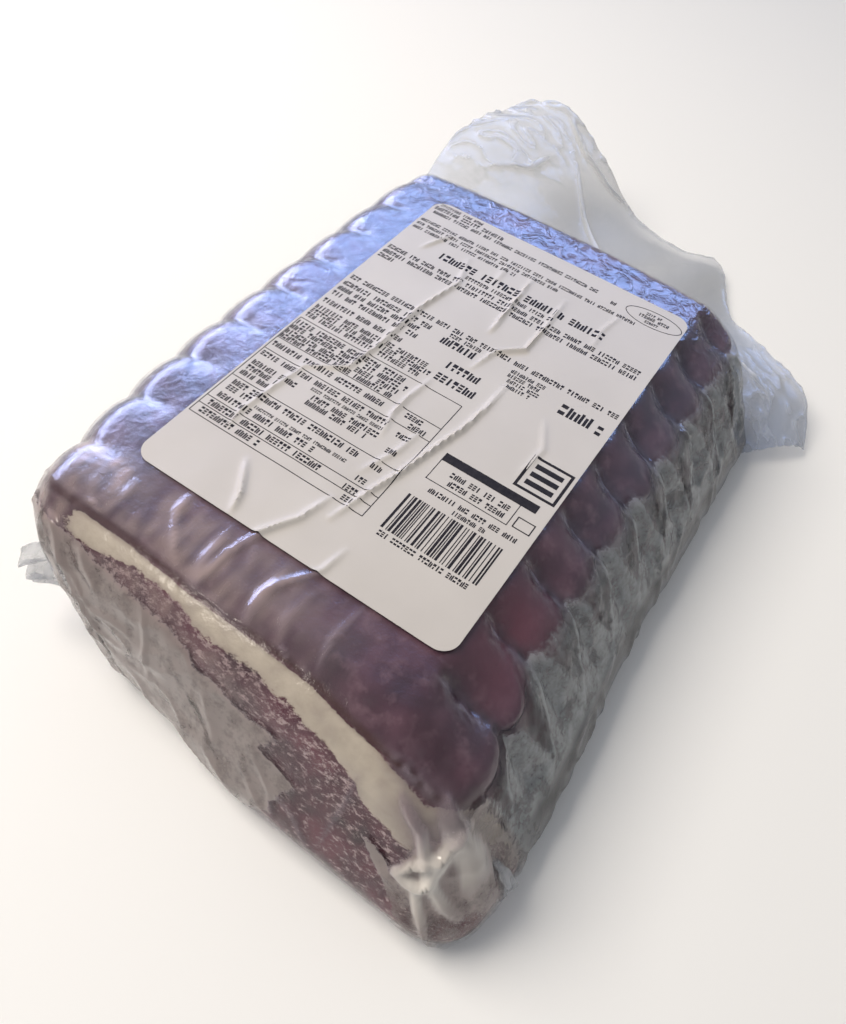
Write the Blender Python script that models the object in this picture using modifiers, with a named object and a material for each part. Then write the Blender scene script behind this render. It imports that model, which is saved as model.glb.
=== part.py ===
"""Half a pressed block of air-dried beef in a sealed vacuum bag, with a paper label on top.

Metres, +Z up. The origin is the middle of the pack's flat underside. X is the block's width,
-Y its cut end, and +Y the end where the bag's spare film spreads out.
"""

import math

import bmesh
import bpy
from mathutils import Vector

# Driving dimensions
WIDTH = 0.136
LENGTH = 0.196
HEIGHT = 0.055
MIDDLE_Y = 0.006
ROUNDING = Vector((0.015, 0.012, 0.015))
LABEL_SIZE = (0.100, 0.150)
LABEL_CORNER = 0.005
LABEL_THICKNESS = 0.0004
LABEL_CENTRE = (-0.010, 0.009)
FILM_THICKNESS = 0.0012
TAIL_LENGTH = 0.102
CLEARANCE = 0.0003

# How the pressed block leaves a plain box
LEAN = 0.028
LEFT_BULGE = 0.010
BULGE_HEIGHT = 0.7
RIGHT_FOOT = 0.0045
SIDE_DROOP = 0.005
DROOP_HEIGHT = 0.75
CUT_END_LEAN = 0.0205
CUT_END_SKEW = 0.004
CUT_END_BULGE = 0.0022
FAR_END_BULGE = 0.005

# Dents left by the strings of the net that the beef dried in
STRING_PITCH = 0.0200
STRING_PHASE = 0.0015
STRING_DEPTH = 0.0036
STRING_REACH = 0.016
STRING_BITE = 0.55

# Cuts across the plain box, between its rounded edges
STEPS = (12, 46, 4)
ROUNDING_STEPS = 3


def material(name, colour, roughness):
    made = bpy.data.materials.new(name)
    made.use_nodes = True
    shader = made.node_tree.nodes["Principled BSDF"]
    shader.inputs["Base Color"].default_value = (*colour, 1.0)
    shader.inputs["Roughness"].default_value = roughness
    shader.inputs["Metallic"].default_value = 0.0
    return made


def link(name, mesh, collection, finish=None):
    thing = bpy.data.objects.new(name, mesh)
    collection.objects.link(thing)
    if finish:
        mesh.materials.append(finish)
    return thing


def evaluated_mesh(thing):
    graph = bpy.context.evaluated_depsgraph_get()
    return bpy.data.meshes.new_from_object(thing.evaluated_get(graph))


def clamp(value, low, high):
    return max(low, min(high, value))


def smooth(value, low, high):
    """0 up to low, 1 from high on, and an S-curve between."""
    share = clamp((value - low) / (high - low), 0.0, 1.0)
    return share * share * (3.0 - 2.0 * share)


def cut_places(half, rounding, steps):
    """Where to cut a box of this half size, so that its rounded edges get even arcs."""
    flat = half - rounding
    arc = [flat + rounding * math.tan(math.pi / 4 * k / ROUNDING_STEPS) for k in range(1, ROUNDING_STEPS)]
    middle = [-flat + 2.0 * flat * k / steps for k in range(steps + 1)]
    return [-place for place in arc] + middle + arc


def string_dent(y):
    """0 midway between two net strings and 1 under a string."""
    turn = math.pi * (y - STRING_PHASE) / STRING_PITCH
    return 1.0 - abs(math.cos(turn)) ** STRING_BITE


def pressed(point):
    """Moves a point of the rounded box to its place on the pressed block."""
    x, y, z = point
    up = z / HEIGHT
    across = clamp(x / (WIDTH / 2), -1.0, 1.0)
    along = clamp(y / (LENGTH / 2), -1.0, 1.0)
    left, right = max(-across, 0.0), max(across, 0.0)
    near, far = max(-along, 0.0), max(along, 0.0)
    belly = smooth(up, 0.0, BULGE_HEIGHT) * (1.0 - near ** 3 - 0.4 * far ** 4)

    # The left side is cut away under its shoulder at the cut end only
    lean = LEAN * (0.5 - up)
    if up < 0.5:
        lean *= 1.0 - left * (1.0 - near * near)
    x += lean - LEFT_BULGE * left * belly
    x += RIGHT_FOOT * right * (1.0 - up) * math.sin(math.pi * near ** 1.5)
    crown = 1.0 - across * across
    y += MIDDLE_Y + FAR_END_BULGE * far * crown
    y -= near * (1.0 - up) * (CUT_END_LEAN + CUT_END_SKEW * across + CUT_END_BULGE * crown)

    side = smooth(abs(across), 1.0 - STRING_REACH / (WIDTH / 2), 1.0)
    dent = STRING_DEPTH * string_dent(y) * side * smooth(up, 0.25, 0.6) * smooth(1.0 - near, 0.0, 0.25)
    x -= math.copysign(dent, across)
    z -= (dent + SIDE_DROOP * side) * smooth(up, DROOP_HEIGHT, 1.0)
    return Vector((x, y, z))


def beef_block(collection, finish):
    """The block: a cube cut into a grid, rounded, and pressed into shape."""
    half = Vector((WIDTH, LENGTH, HEIGHT)) / 2
    shape = bmesh.new()
    bmesh.ops.create_cube(shape, size=1.0)
    bmesh.ops.scale(shape, vec=half * 2, verts=shape.verts)
    for axis in range(3):
        normal = Vector([float(axis == k) for k in range(3)])
        for place in cut_places(half[axis], ROUNDING[axis], STEPS[axis]):
            every = shape.verts[:] + shape.edges[:] + shape.faces[:]
            bmesh.ops.bisect_plane(shape, geom=every, dist=1e-6, plane_co=normal * place, plane_no=normal)
    for vert in shape.verts:
        core = Vector([clamp(vert.co[k], ROUNDING[k] - half[k], half[k] - ROUNDING[k]) for k in range(3)])
        away = Vector([(vert.co[k] - core[k]) / ROUNDING[k] for k in range(3)]).normalized()
        rounded = core + Vector([away[k] * ROUNDING[k] for k in range(3)])
        vert.co = pressed(rounded + Vector((0.0, 0.0, half.z)))
    mesh = bpy.data.meshes.new("vacuum_pack")
    shape.to_mesh(mesh)
    shape.free()
    return link("vacuum_pack", mesh, collection, finish)


def along_curve(points, share):
    """The point at this share of a smooth curve through the points."""
    place = clamp(share, 0.0, 1.0) * (len(points) - 1)
    k = min(int(place), len(points) - 2)
    u = place - k
    before, start, end, after = (Vector(points[clamp(k + j, 0, len(points) - 1)]) for j in (-1, 0, 1, 2))
    return 0.5 * (
        2.0 * start
        + (end - before) * u
        + (2.0 * before - 5.0 * start + 4.0 * end - after) * u * u
        + (3.0 * start - before - 3.0 * end + after) * u * u * u
    )


# The spare film: where it leaves the block, and its free edge, both from left to right
TAIL_ROOT = ((-0.076, 0.090, 0.043), (-0.030, 0.096, 0.039), (0.020, 0.096, 0.024), (0.064, 0.082, 0.006))
TAIL_EDGE = (
    (-0.083, 0.094 + TAIL_LENGTH, 0.039),
    (-0.064, 0.098 + TAIL_LENGTH, 0.041),
    (-0.042, 0.098 + TAIL_LENGTH, 0.028),
    (-0.018, 0.096 + TAIL_LENGTH, 0.009),
    (0.008, 0.096 + TAIL_LENGTH, 0.003),
    (0.027, 0.098 + TAIL_LENGTH, 0.004),
    (0.044, 0.170, 0.003),
    (0.066, 0.150, 0.009),
    (0.086, 0.134, 0.010),
    (0.096, 0.115, 0.002),
)
TAIL_STEPS = (30, 14)
TAIL_ARCH = 0.012
TAIL_SIDE_BULGE = 0.006
# Each wave's height, and how fast it turns across the film and out along it, in radians
TAIL_WAVES = ((0.0030, 11.0, 2.0), (0.0018, -9.0, 5.0))


def tail_point(across, out):
    """A point of the spare film: across it from left to right, and out from the block to the free edge."""
    place = along_curve(TAIL_ROOT, across).lerp(along_curve(TAIL_EDGE, across), out)
    free = math.sin(math.pi * out)
    for height, turn_across, turn_out in TAIL_WAVES:
        place.z += height * free * math.sin(turn_across * across + turn_out * out)
    place.z += TAIL_ARCH * out * (1.0 - out)
    place.x -= TAIL_SIDE_BULGE * free * (1.0 - across) ** 4
    place.z = max(place.z, FILM_THICKNESS)
    return place


def film_sheet(name, place, steps, collection):
    """A wavy sheet of film: a grid laid through place(u, v), then given its thickness."""
    shape = bmesh.new()
    bmesh.ops.create_grid(shape, x_segments=steps[0], y_segments=steps[1], size=0.5)
    for vert in shape.verts:
        vert.co = place(vert.co.x + 0.5, vert.co.y + 0.5)
    bmesh.ops.triangulate(shape, faces=shape.faces)
    mesh = bpy.data.meshes.new(name)
    shape.to_mesh(mesh)
    shape.free()
    sheet = link(name, mesh, collection)
    wall = sheet.modifiers.new("Thickness", "SOLIDIFY")
    wall.thickness = FILM_THICKNESS
    wall.offset = 0.0
    return sheet


# The bag's ears at the cut end: where each leaves the block, its tip, and its height at the block
EARS = {
    "left_ear": ((-0.056, -0.086, 0.026), (-0.078, -0.098, 0.021), 0.028),
    "right_ear": ((0.062, -0.084, 0.015), (0.080, -0.090, 0.013), 0.020),
}
EAR_STEPS = (8, 6)
EAR_FOLD = 0.002
EAR_FOLD_TURN = 14.0
EAR_TAPER = 0.45


def ear(name, root, tip, height, collection):
    """A crumpled ear of the bag's end seam, standing out from a corner of the block."""
    root, tip = Vector(root), Vector(tip)
    side = (tip - root).cross(Vector((0.0, 0.0, 1.0))).normalized()

    def place(up, out):
        at = root.lerp(tip, out)
        at += side * EAR_FOLD * out * math.sin(EAR_FOLD_TURN * up)
        at.z += height * (up - 0.5) * (1.0 - EAR_TAPER * out * out)
        return at

    return film_sheet(name, place, EAR_STEPS, collection)


def join_into(thing, pieces):
    """Unites a collection's pieces with thing, for good, and removes them."""
    union = thing.modifiers.new("Join", "BOOLEAN")
    union.operation = "UNION"
    union.operand_type = "COLLECTION"
    union.collection = pieces
    union.solver = "EXACT"
    joined = evaluated_mesh(thing)
    thing.modifiers.clear()
    thing.data = joined
    for piece in list(pieces.objects):
        bpy.data.objects.remove(piece)
    bpy.data.collections.remove(pieces)


def paper_label(collection, finish):
    """The label: a flat outline with round corners, extruded to its thickness."""
    curve = bpy.data.curves.new("label_outline", "CURVE")
    curve.dimensions = "2D"
    curve.fill_mode = "BOTH"
    curve.extrude = LABEL_THICKNESS / 2
    outline = []
    for corner, (sign_x, sign_y) in enumerate(((1, 1), (-1, 1), (-1, -1), (1, -1))):
        middle_x = sign_x * (LABEL_SIZE[0] / 2 - LABEL_CORNER)
        middle_y = sign_y * (LABEL_SIZE[1] / 2 - LABEL_CORNER)
        for step in range(7):
            turn = math.pi / 2 * (corner + step / 6)
            outline.append((middle_x + LABEL_CORNER * math.cos(turn), middle_y + LABEL_CORNER * math.sin(turn)))
    line = curve.splines.new("POLY")
    line.points.add(len(outline) - 1)
    for point, (x, y) in zip(line.points, outline):
        point.co = (x, y, 0.0, 1.0)
    line.use_cyclic_u = True
    flat = link("label_outline", curve, collection)
    mesh = evaluated_mesh(flat)
    bpy.data.objects.remove(flat)
    shape = bmesh.new()
    shape.from_mesh(mesh)
    bmesh.ops.remove_doubles(shape, verts=shape.verts, dist=1e-5)
    shape.to_mesh(mesh)
    shape.free()
    label = link("label", mesh, collection, finish)
    label.location = (*LABEL_CENTRE, HEIGHT + CLEARANCE + LABEL_THICKNESS / 2)
    return label


def shade(thing, degrees):
    thing.data.shade_smooth()
    thing.data.set_sharp_from_angle(angle=math.radians(degrees))


def main():
    for thing in list(bpy.data.objects):
        bpy.data.objects.remove(thing)
    pack = bpy.data.collections.new("air_dried_beef_pack")
    bpy.context.scene.collection.children.link(pack)
    film = bpy.data.collections.new("bag_film")
    bpy.context.scene.collection.children.link(film)

    beef_in_film = material("beef_in_clear_film", (0.075, 0.042, 0.058), 0.25)
    paper = material("label_paper", (0.62, 0.60, 0.57), 0.6)

    block = beef_block(pack, beef_in_film)
    film_sheet("tail", tail_point, TAIL_STEPS, film)
    for name, (root, tip, height) in EARS.items():
        ear(name, root, tip, height, film)
    join_into(block, film)
    label = paper_label(pack, paper)
    shade(block, 50)
    shade(label, 30)


main()
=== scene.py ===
# %% [markdown]
# Air-dried beef in a vacuum bag
#
# The real object is half a block of pressed, air-dried beef. The block dried inside a net, so its sides
# carry a row of string dents. It is sealed in a clear bag: the film clings to the meat where all the air is
# gone, and turns grey where it bridges a hollow. A paper label is stuck on top of the film.
#
# The lesson rebuilds it in that order: meat, bag, spare film, ears of the seam, label, print.

import math

import bpy
import numpy as np
from mathutils import Matrix, Vector, noise


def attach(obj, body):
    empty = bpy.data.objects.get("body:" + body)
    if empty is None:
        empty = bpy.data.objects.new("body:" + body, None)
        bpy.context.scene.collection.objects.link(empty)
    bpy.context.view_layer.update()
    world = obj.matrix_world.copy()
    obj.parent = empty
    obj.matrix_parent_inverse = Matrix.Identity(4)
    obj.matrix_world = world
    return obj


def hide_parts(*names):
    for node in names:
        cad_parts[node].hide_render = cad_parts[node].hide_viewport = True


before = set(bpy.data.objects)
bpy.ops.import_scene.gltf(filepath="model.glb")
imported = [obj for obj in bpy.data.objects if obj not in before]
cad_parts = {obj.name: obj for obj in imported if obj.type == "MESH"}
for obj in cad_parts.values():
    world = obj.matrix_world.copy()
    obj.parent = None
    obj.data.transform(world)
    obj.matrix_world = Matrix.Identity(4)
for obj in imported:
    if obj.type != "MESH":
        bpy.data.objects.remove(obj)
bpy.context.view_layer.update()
scene = bpy.context.scene
MM = 0.001

# %% [markdown]
# Three helpers are used all through the lesson. The first turns a colour that a person can read into the
# linear numbers that light is computed with. The second adds one node with its settings and links, so that
# a whole material or tree reads as a list of nodes. The third puts a new object in the scene.


# %% Helpers for colours, nodes and objects
def linear(hex_colour):
    """A colour written as '#rrggbb' in sRGB, as linear RGBA."""
    shares = [int(hex_colour[k:k + 2], 16) / 255 for k in (1, 3, 5)]
    return (*[s / 12.92 if s <= 0.04045 else ((s + 0.055) / 1.055) ** 2.4 for s in shares], 1.0)


def add(tree, kind, inputs=None, stops=None, **settings):
    """Adds a node. Inputs are values or sockets, by name or number; stops fill a colour ramp."""
    node = tree.nodes.new(kind)
    for name, value in settings.items():
        setattr(node, name, value)
    for name, value in (inputs or {}).items():
        if isinstance(value, bpy.types.NodeSocket):
            tree.links.new(value, node.inputs[name])
        else:
            node.inputs[name].default_value = value
    if stops:
        ramp = node.color_ramp
        while len(ramp.elements) < len(stops):
            ramp.elements.new(1.0)
        for element, (place, colour) in zip(ramp.elements, stops):
            element.position = place
            element.color = linear(colour)
    return node


def new_object(name, data):
    """An object in the scene that shows this mesh, camera or light."""
    made = bpy.data.objects.new(name, data)
    scene.collection.objects.link(made)
    return made


# %% [markdown]
# The camera and the light come first, because every finish is judged through them. The block was seen from
# close by, over its cut end and a little from the right, with the camera rolled. The room was lit by soft
# daylight: a large warm key panel at the left, which leaves the right side darker. The glossy film mirrors
# pale blue sky at its far end and left side, so two blue panels stand there, and a small window puts glints
# on the creases. Those three only add reflections, and the key only adds soft light.

# %% Camera
EYE = Vector((0.0654, -0.1474, 0.2282))
LOOK = Vector((-0.25158, 0.52856, -0.81076)).normalized()
UP = Vector((-0.50173, 0.64512, 0.57627)).normalized()
LENS = 28.58

right = LOOK.cross(UP).normalized()
axes = Matrix((right, right.cross(LOOK), -LOOK)).transposed()
lens = bpy.data.cameras.new("photo_angle")
lens.lens = LENS
lens.sensor_width = 36.0
lens.clip_start = 0.01
camera = new_object("photo_angle", lens)
camera.matrix_world = Matrix.Translation(EYE) @ axes.to_4x4()
scene.camera = camera
print("camera stands", round(EYE.length, 3), "m from the pack's middle")

# %% Light
scene.view_settings.view_transform = "Standard"


def panel(name, place, target, size, radiance, colour, **seen_by):
    """Adds a soft rectangular light of this brightness, aimed at target."""
    light = bpy.data.lights.new(name, "AREA")
    light.shape = "RECTANGLE"
    light.size, light.size_y = size
    light.energy = radiance * math.pi * size[0] * size[1]
    light.color = linear(colour)[:3]
    lamp = new_object(name, light)
    lamp.location = place
    lamp.rotation_euler = (Vector(target) - Vector(place)).to_track_quat("-Z", "Y").to_euler()
    for ray, seen in seen_by.items():
        setattr(lamp, "visible_" + ray, seen)


panel("key_panel", (-0.60, -0.15, 0.85), (0, 0, 0.03), (0.6, 0.6), 9.5, "#fff6ea", glossy=False)
panel("window_panel", (-0.38, -0.72, 0.62), (0, 0, 0.03), (0.09, 0.07), 45.0, "#fff4e6", diffuse=False)
panel("far_sky_panel", (-0.35, 1.30, 0.95), (0, 0, 0.05), (1.9, 0.9), 11.0, "#97b8ff", diffuse=False)
panel("left_sky_panel", (-1.35, 0.45, 0.70), (0, 0, 0.05), (1.3, 0.9), 19.0, "#c0caff", diffuse=False)

world = bpy.data.worlds.new("soft_daylight")
world.use_nodes = True
sky = world.node_tree.nodes["Background"].inputs
sky["Color"].default_value = linear("#f4f6fa")
sky["Strength"].default_value = 0.40
scene.world = world

# %% Floor
FLOOR_SIDE = 12.0
FLOOR_DROP = 0.2 * MM
floor_mesh = bpy.data.meshes.new("floor")
floor_half = FLOOR_SIDE / 2
floor_corners = [(sx * floor_half, sy * floor_half, 0.0) for sx, sy in ((-1, -1), (1, -1), (1, 1), (-1, 1))]
floor_mesh.from_pydata(floor_corners, [], [(0, 1, 2, 3)])
floor = new_object("floor", floor_mesh)
floor.location.z = -FLOOR_DROP
floor_paint = bpy.data.materials.new("matt_white_floor_paint")
floor_paint.use_nodes = True
floor_shader = floor_paint.node_tree.nodes["Principled BSDF"]
floor_shader.inputs["Base Color"].default_value = linear("#f3f3f3")
floor_shader.inputs["Roughness"].default_value = 0.9
floor_shader.inputs["Specular IOR Level"].default_value = 0.1
floor_mesh.materials.append(floor_paint)

# %% [markdown]
# A Geometry Nodes tree is a recipe with named inputs. One helper starts a tree, and another runs it on an
# object and keeps the result as a plain mesh, because a finished piece carries no live recipe.

# %% Helpers for Geometry Nodes
SOCKET_KINDS = {
    float: "NodeSocketFloat", int: "NodeSocketInt", tuple: "NodeSocketVector",
    bpy.types.Material: "NodeSocketMaterial", bpy.types.Object: "NodeSocketObject"}


def start_tree(name, **inputs):
    """A new Geometry Nodes tree with named inputs, and its group input and output nodes."""
    tree = bpy.data.node_groups.new(name, "GeometryNodeTree")
    tree.interface.new_socket("Geometry", in_out="INPUT", socket_type="NodeSocketGeometry")
    tree.interface.new_socket("Geometry", in_out="OUTPUT", socket_type="NodeSocketGeometry")
    for label, value in inputs.items():
        kind = next(kind for cls, kind in SOCKET_KINDS.items() if isinstance(value, cls))
        socket = tree.interface.new_socket(label, in_out="INPUT", socket_type=kind)
        socket.default_value = value
    return tree, tree.nodes.new("NodeGroupInput"), tree.nodes.new("NodeGroupOutput")


def keep_plain(thing):
    """Gives an object its finished mesh, without the modifiers that made it and without texture maps."""
    graph = bpy.context.evaluated_depsgraph_get()
    plain = bpy.data.meshes.new_from_object(thing.evaluated_get(graph))
    thing.modifiers.clear()
    for layer in list(plain.uv_layers):
        plain.uv_layers.remove(layer)
    thing.data = plain


def grow(name, tree, mesh=None, **values):
    """Runs a tree on a mesh, and returns the result as a plain mesh object at the origin."""
    thing = new_object(name, mesh or bpy.data.meshes.new(name))
    recipe = thing.modifiers.new(tree.name, "NODES")
    recipe.node_group = tree
    identifiers = {s.name: s.identifier for s in tree.interface.items_tree if s.in_out == "INPUT"}
    for label, value in values.items():
        recipe[identifiers[label]] = value
    keep_plain(thing)
    print(name, "has", len(thing.data.vertices), "points")
    return thing


def places(mesh, attribute="co"):
    """The mesh's points, or their normals, as rows of three numbers."""
    numbers = np.empty(len(mesh.vertices) * 3, np.float32)
    mesh.vertices.foreach_get(attribute, numbers)
    return numbers.reshape(-1, 3).astype(float)


def move_points(mesh, rows):
    mesh.vertices.foreach_set("co", np.asarray(rows, np.float32).ravel())
    mesh.update()


def note(mesh, **columns):
    """Keeps a number at each point under each of these names, for a material to read."""
    for name, values in columns.items():
        layer = mesh.attributes.new(name, "FLOAT", "POINT")
        layer.data.foreach_set("value", np.asarray(values, np.float32))


# %% [markdown]
# The block is one closed form that follows a rule: a box with rounded edges that the press has pushed over,
# bellied out and let the net dent. A Geometry Nodes tree lays the even grid of a box, and the rule moves
# each point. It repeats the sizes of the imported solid, so meat and film keep to its outline. Only the dents
# run further over the top, because the solid's faces are too wide to carry their long tails.

# %% The pressed block's rule
# Sizes in metres, as in the solid
WIDTH, LENGTH, HEIGHT = 0.136, 0.196, 0.055
MIDDLE_Y = 0.006
ROUNDING = np.array((0.015, 0.012, 0.015))
LEAN = 0.028
LEFT_BULGE = 0.010
BULGE_HEIGHT = 0.7
RIGHT_FOOT = 0.0045
SIDE_DROOP = 0.005
DROOP_HEIGHT = 0.75
CUT_END_LEAN = 0.0205
CUT_END_SKEW = 0.004
CUT_END_BULGE = 0.0022
FAR_END_BULGE = 0.005
STRING_PITCH = 0.0200
STRING_PHASE = 0.0015
STRING_DEPTH = 0.0036
STRING_BITE = 0.55
SIDE_REACH = 0.016
# Where a dent starts and is full, as shares of the way from the middle to each side
LEFT_DENT, RIGHT_DENT = (0.60, 0.85), (0.77, 0.92)
LEFT_DENT_SHARE = 0.48
FAR_BELLY = 0.4
# Heights between which a dent on the side and the roll over the top set in, as shares of the block's height
SIDE_DENT_HEIGHTS, TOP_DENT_HEIGHTS = (0.25, 0.6), (DROOP_HEIGHT, 1.0)
CUT_END_CALM = 0.25


def smooth(value, low, high):
    """0 up to low, 1 from high on, and an S-curve between."""
    share = np.clip((value - low) / (high - low), 0.0, 1.0)
    return share * share * (3.0 - 2.0 * share)


def string_dent(y):
    """0 midway between two net strings and 1 under a string."""
    return 1.0 - np.abs(np.cos(np.pi * (y - STRING_PHASE) / STRING_PITCH)) ** STRING_BITE


def pressed(box_points, string_depth):
    """Moves the points of a plain box, centred on the origin, to their places on the pressed block."""
    half = np.array((WIDTH, LENGTH, HEIGHT)) / 2
    core = np.clip(box_points, ROUNDING - half, half - ROUNDING)
    away = (box_points - core) / ROUNDING
    away /= np.maximum(np.linalg.norm(away, axis=1, keepdims=True), 1e-9)
    x, y, z = (core + away * ROUNDING + (0.0, 0.0, half[2])).T
    up = z / HEIGHT
    across = np.clip(x / half[0], -1.0, 1.0)
    along = np.clip(y / half[1], -1.0, 1.0)
    left, right = np.maximum(-across, 0.0), np.maximum(across, 0.0)
    near, far = np.maximum(-along, 0.0), np.maximum(along, 0.0)
    belly = smooth(up, 0.0, BULGE_HEIGHT) * (1.0 - near ** 3 - FAR_BELLY * far ** 4)
    undercut = np.where(up < 0.5, 1.0 - left * (1.0 - near * near), 1.0)
    x = x + LEAN * (0.5 - up) * undercut - LEFT_BULGE * left * belly
    x = x + RIGHT_FOOT * right * (1.0 - up) * np.sin(np.pi * near ** 1.5)
    crown = 1.0 - across * across
    y = y + MIDDLE_Y + FAR_END_BULGE * far * crown
    y = y - near * (1.0 - up) * (CUT_END_LEAN + CUT_END_SKEW * across + CUT_END_BULGE * crown)
    side = smooth(np.abs(across), 1.0 - SIDE_REACH / half[0], 1.0)
    left_reach, right_reach = smooth(left, *LEFT_DENT), smooth(right, *RIGHT_DENT)
    reached = np.where(across < 0.0, LEFT_DENT_SHARE * left_reach, right_reach)
    calm = smooth(1.0 - near, 0.0, CUT_END_CALM)
    dent = string_depth * string_dent(y) * reached * smooth(up, *SIDE_DENT_HEIGHTS) * calm
    x = x - np.copysign(dent, across)
    z = z - (dent + SIDE_DROOP * side) * smooth(up, *TOP_DENT_HEIGHTS)
    return np.stack((x, y, z), 1)


# %% The even grid of a box
GRID_STEP = 1.0 * MM

box_tree, box_in, box_out = start_tree("even_box", Size=(WIDTH, LENGTH, HEIGHT), Across=2, Along=2, Up=2)
box_cube = add(box_tree, "GeometryNodeMeshCube", {
    "Size": box_in.outputs["Size"], "Vertices X": box_in.outputs["Across"],
    "Vertices Y": box_in.outputs["Along"], "Vertices Z": box_in.outputs["Up"]})
box_tree.links.new(box_cube.outputs["Mesh"], box_out.inputs["Geometry"])
box_sides = dict(zip(("Across", "Along", "Up"), (WIDTH, LENGTH, HEIGHT)))
GRID_COUNTS = {label: round(side / GRID_STEP) for label, side in box_sides.items()}


def even_box(name):
    """A fine even box of the block's size, with no material."""
    thing = grow(name, box_tree, Size=(WIDTH, LENGTH, HEIGHT), **GRID_COUNTS)
    thing.data.materials.clear()
    return thing


film = even_box("bag_film")
box_points = places(film.data)
skin = pressed(box_points, STRING_DEPTH)
move_points(film.data, skin)
skin_out = places(film.data, "normal")
X, Y, Z = (skin / MM).T
print("block in mm:", (skin.min(0) / MM).round(1), (skin.max(0) / MM).round(1))

# %% [markdown]
# A vacuum bag is a flat sheet pulled over corners, so its spare width stands up in sharp little folds. The
# long ones run across the label and over the cut end's edge. Each crease is a line of points in the sheet's
# own millimetres: x across the block, and v along it, which goes on down the cut end. Label and film share
# the same lines, because the paper was stuck on before the air was drawn off. The height falls off quickly
# beside the line, which gives a pinched ridge and not a soft roll. Paper is stiffer, with wider ridges.

# %% Creases
CUT_EDGE_Y = -92.0
TOP_Z = HEIGHT / MM
# Height and half width in mm, then the points (x, v) that the crease runs through
LABEL_CREASES = (
    (0.95, 0.85, ((6, 18), (6, 7), (5, -4), (3, -13), (0, -28), (-3, -38), (-6, -51))),
    (0.8, 0.9, ((-35, -50), (-29, -59), (-27, -65))),
    (0.85, 0.95, ((-10, -46), (-12, -56), (-17, -65), (-20, -75), (-20, -87))),
    (0.6, 0.9, ((3, -57), (2, -65), (-3, -72), (-6, -79), (-4, -87))),
    (0.8, 0.8, ((-34, 62), (-30, 49), (-31, 43), (-33, 31), (-33, 22), (-33, 10), (-35, -5), (-46, -13))),
    (0.55, 0.8, ((-45, 70), (-50, 57))),
    (0.7, 0.75, ((-12, 68), (-11, 55), (-10, 40), (-10, 36))),
    (0.75, 0.8, ((2, 65), (3, 47), (3, 36), (-4, 29), (-6, 19))),
    (0.5, 0.8, ((-45, -12), (-46, -20), (-47, -28), (-48, -38), (-47, -43))),
    (0.55, 0.8, ((-13, 7), (-14, -3), (-14, -12), (-12, -20))),
    (0.4, 0.9, ((-4, -12), (-5, -22), (-9, -34))),
    (0.35, 0.9, ((22, 14), (27, 4), (26, -8))),
    (0.35, 1, ((-22, 70), (-21, 58))),
    (0.35, 0.9, ((20, 72), (18, 60), (19, 50))),
)
FILM_CREASES = (
    (0.4, 1.2, ((-53, -71), (-51, -79))),
    (0.55, 1.2, ((-39, -66), (-38, -73), (-28, -85))),
    (0.5, 2.2, ((-24, -67), (-23, -78), (-21, -88))),
    (0.5, 2.2, ((-6, -67), (-5, -80), (-5, -90))),
    (0.35, 1.8, ((-16, -68), (-12, -76))),
    (0.55, 1.1, ((-23, -88), (-14, -88), (-5, -90))),
    (0.6, 0.9, ((-58, -83), (-53, -85))),
    (0.9, 0.8, ((6, -87), (9, -89))),
    (0.7, 0.8, ((13, -89), (16, -90))),
    (0.4, 2, ((4, -70), (3, -80), (5, -86))),
    (0.6, 1.1, ((16, -67), (15, -78), (17, -88))),
    (0.6, 1, ((-31, -101), (-28, -105), (-27, -115), (-26, -128))),
    (0.6, 0.9, ((37, -103), (37, -111), (36, -120), (35, -130))),
    (0.8, 1, ((-62, -103), (-54, -107), (-47, -114), (-40, -112), (-32, -113))),
    (0.8, 1.1, ((-66, -94), (-56, -108), (-48, -118), (-42, -126))),
    (1.6, 1.2, ((61, -119), (55, -108), (47, -101))),
    (1.9, 1.2, ((61, -119), (62, -108), (56, -100))),
    (1.9, 1.3, ((54, -121), (57, -117), (63, -113))),
    (1.9, 1.2, ((54, -121), (61, -122), (63, -115))),
    (1.9, 1.3, ((56, -103), (65, -114), (71, -124), (78, -134))),
    (1.6, 1.2, ((61, -119), (67, -126), (73, -131))),
    (1.5, 1.2, ((60, -123), (65, -131), (70, -139))),
    (0.5, 1, ((18, -124), (26, -128), (34, -136))),
    (0.5, 1, ((10, -118), (18, -126), (22, -140))),
)
PINCH = 0.95
CREASE_END = 0.02
# Strength and half width in mm of the lines where loose film touches the dark meat again
TOUCH_LINES = (
    (1, 1.4, ((-68, -94), (-66, -108), (-64, -126), (-60, -146))),
    (1, 1.2, ((-67, -97), (-55, -113), (-48, -121), (-42, -130), (-36, -140))),
    (1, 3, ((-60, -147), (-40, -147), (-10, -148), (30, -148))),
    (0.8, 1, ((-58, -98), (-52, -104), (-44, -108))),
    (0.6, 1.2, ((-20, -112), (-8, -120), (2, -132))),
)


def crease_height(x, v, creases, pinch=PINCH):
    """How far the creases lift the sheet at these places, in mm; pinch widens all of them."""
    height = np.zeros_like(x)
    here = np.stack((x, v), 1)
    for tallest, half_width, line in creases:
        points = np.array(line, float)
        nearest = np.full(len(x), np.inf)
        along = np.zeros(len(x))
        for k, (start, end) in enumerate(zip(points, points[1:])):
            run = end - start
            share = np.clip(((here - start) @ run) / (run @ run), 0.0, 1.0)
            distance = np.linalg.norm(here - start - share[:, None] * run, axis=1)
            closer = distance < nearest
            nearest[closer] = distance[closer]
            along[closer] = (k + share[closer]) / (len(points) - 1)
        inner = np.clip(along, CREASE_END, 1.0 - CREASE_END)
        fade = np.sqrt(np.clip(np.sin(np.pi * inner), 0.0, 1.0))
        height += tallest * fade / (1.0 + (nearest / (pinch * half_width)) ** 2) ** 2
    return height


PATTERN_STEP = 17.3


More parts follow.
